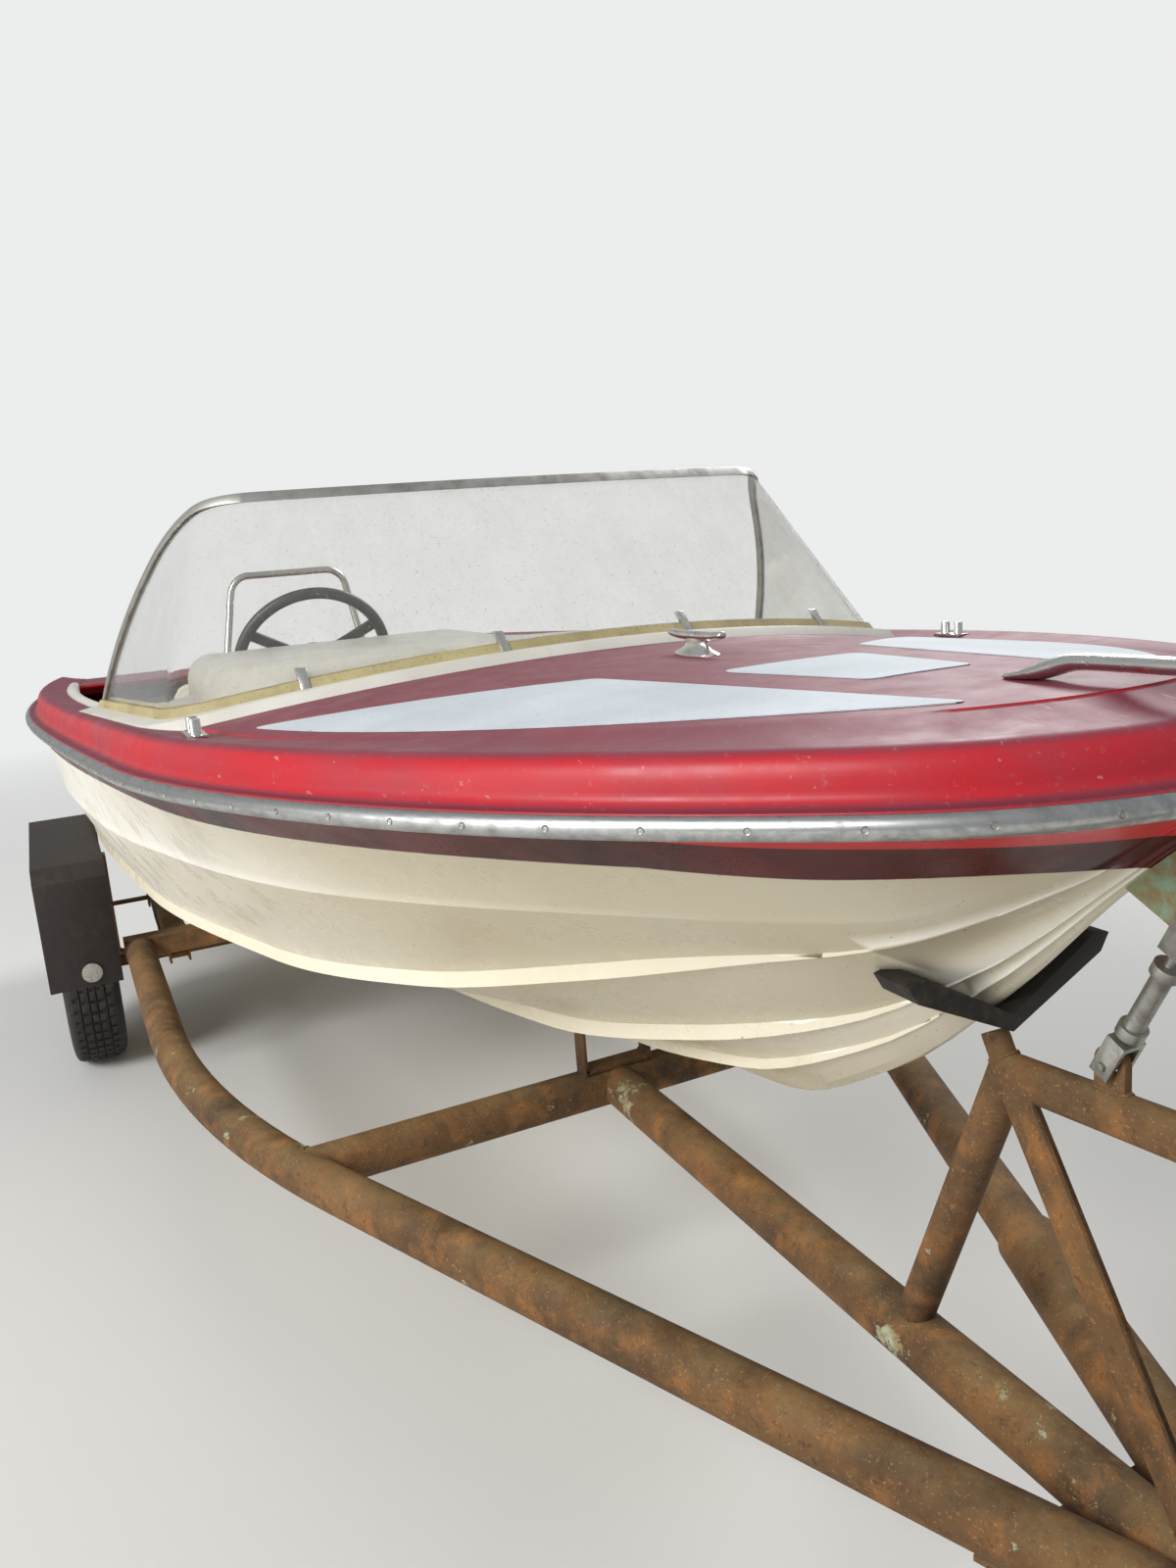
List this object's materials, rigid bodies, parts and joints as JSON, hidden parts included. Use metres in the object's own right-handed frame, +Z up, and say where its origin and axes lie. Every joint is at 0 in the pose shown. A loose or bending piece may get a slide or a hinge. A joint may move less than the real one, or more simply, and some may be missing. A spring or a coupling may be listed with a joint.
{
  "type": "speedboat",
  "caption": "Open fibreglass runabout with wrap-round windscreen, red deck and white hull, on a single-axle tube trailer that stands on its screw jack.",
  "frame": {"origin": "middle of the outfit's length and width, on the ground under its wheels and jack foot", "axes": "+X towards the bow and the trailer's coupling, +Y to port, +Z up"},
  "size_m": [4.9184, 1.97, 1.568],
  "materials": {
    "hull_gelcoat": "worn gloss gelcoat with dirt and hairline cracks",
    "deck_gelcoat": "faded gloss gelcoat",
    "non_skid": "fine moulded grain",
    "rail_aluminium": "dull extruded",
    "trim_aluminium": "satin extruded",
    "smoked_acrylic": "scratched and speckled",
    "beige_rubber": "aged matt",
    "white_gelcoat": "gloss",
    "deck_chrome": "pitted",
    "black_plastic": "fine grain",
    "seat_vinyl": "soft grained",
    "sole_carpet": "short pile",
    "varnished_ply": "weathered varnish",
    "rusty_paint": "rusted with remnants of pale green paint",
    "rusty_steel": "rough rust",
    "zinc_steel": "dull zinc",
    "green_steel": "chalky green paint",
    "tyre_rubber": "matt black",
    "rim_paint": "rust-stained paint",
    "bunk_timber": "grey weathered",
    "black_rubber": "dirty matt",
    "guard_plastic": "dusty",
    "reflector_lens": "moulded prisms"
  },
  "bodies": {
    "outfit": {"axle": "rusty_steel", "bow_chock": "black_rubber", "bow_eye": "green_steel", "bow_handle": "deck_chrome", "bow_stand": "rusty_paint", "bunk_posts": "rusty_paint", "bunks": "bunk_timber", "centre_tube": "rusty_paint", "coaming": "white_gelcoat", "cockpit_sole": "sole_carpet", "coupling": "rusty_steel", "dash": "white_gelcoat", "dash_cowl": "white_gelcoat", "deck": "deck_gelcoat", "deck_bollards": "deck_chrome", "deck_cleat": "deck_chrome", "foredeck_pads": "non_skid", "front_cross_tube": "rusty_paint", "gauges": "black_plastic", "guard_brackets": "rusty_steel", "hull": "hull_gelcoat", "jack_body": "zinc_steel", "keel_rollers": "black_rubber", "leaf_springs": "rusty_steel", "motor_pad": "varnished_ply", "motor_well": "white_gelcoat", "mudguards": "guard_plastic", "port_tube": "rusty_paint", "rear_frame": "rusty_paint", "reflectors": "reflector_lens", "roller_brackets": "rusty_paint", "rub_rail": "rail_aluminium", "seat_backs": "seat_vinyl", "seat_bases": "white_gelcoat", "seat_cushions": "seat_vinyl", "ski_hoop": "deck_chrome", "spring_hangers": "rusty_steel", "starboard_tube": "rusty_paint", "steering_column": "black_plastic", "turnbuckle": "zinc_steel", "winch_post": "rusty_paint", "windscreen": "smoked_acrylic", "windscreen_clips": "deck_chrome", "windscreen_frame": "trim_aluminium", "windscreen_plinth": "white_gelcoat", "windscreen_seal": "beige_rubber"},
    "port_wheel": {"port_tyre": "tyre_rubber", "port_rim": "rim_paint"},
    "starboard_wheel": {"starboard_tyre": "tyre_rubber", "starboard_rim": "rim_paint"},
    "jack_inner": {"jack_leg": "zinc_steel"},
    "winch_reel": {"winch_drum": "zinc_steel"},
    "helm_wheel": {"steering_wheel": "black_plastic"}
  },
  "joints": [
    {"name": "port_wheel_spin", "type": "hinge", "parent": "outfit", "child": "port_wheel", "pos_m": [-1.30085, 0.885, 0.288], "axis": [0, 1, 0], "continuous": true},
    {"name": "starboard_wheel_spin", "type": "hinge", "parent": "outfit", "child": "starboard_wheel", "pos_m": [-1.30085, -0.885, 0.288], "axis": [0, 1, 0], "continuous": true},
    {"name": "jack_slide", "type": "slide", "parent": "outfit", "child": "jack_inner", "axis": [0, 0, 1], "range_m": [0, 0.28]},
    {"name": "winch_turn", "type": "hinge", "parent": "outfit", "child": "winch_reel", "pos_m": [2.08915, 0, 1.005], "axis": [0, 1, 0], "continuous": true},
    {"name": "steering_turn", "type": "hinge", "parent": "outfit", "child": "helm_wheel", "pos_m": [-0.07585, -0.34, 1.234], "axis": [-0.9063, 0, 0.4226], "range_deg": [-540, 540]}
  ]
}
